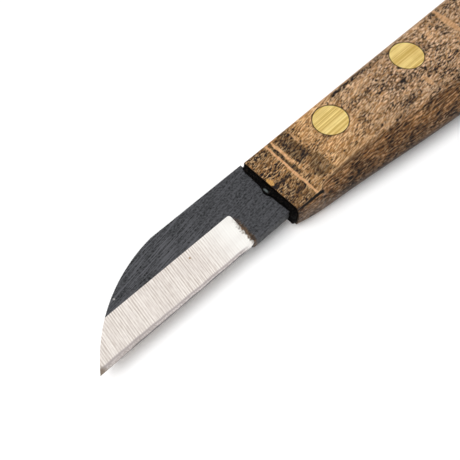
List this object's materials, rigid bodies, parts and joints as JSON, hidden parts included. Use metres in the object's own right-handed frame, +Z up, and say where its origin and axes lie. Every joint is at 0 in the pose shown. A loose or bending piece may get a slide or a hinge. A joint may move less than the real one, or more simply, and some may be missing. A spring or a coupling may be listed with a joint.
{
  "type": "wood carving knife",
  "caption": "Fixed-blade wood carving knife: a straight cutting edge with a curved nose, on a tang bedded in epoxy and riveted in a swelling one-piece wooden handle.",
  "frame": {"origin": "middle of the bottom of the box around the knife, which lies on the flat side of its handle", "axes": "+X from the tip to the butt, +Y from the cutting edge to the spine, +Z up, square to the blade's flats"},
  "size_m": [0.1748, 0.0254, 0.0107],
  "materials": {
    "carbon_steel": "black heat scale on the flats and a bright ground bevel",
    "stained_wood": "stained hardwood with dark pores and pale ray bands, sanded and oiled",
    "black_epoxy": "cured black epoxy, slightly glossy",
    "brass": "ground flush, with fine sanding lines"
  },
  "bodies": {
    "root": {"blade": "carbon_steel", "handle": "stained_wood", "epoxy_bedding": "black_epoxy", "front_rivet_pin_half": "brass", "front_rivet_tube_half": "brass", "rear_rivet_pin_half": "brass", "rear_rivet_tube_half": "brass"}
  },
  "joints": []
}
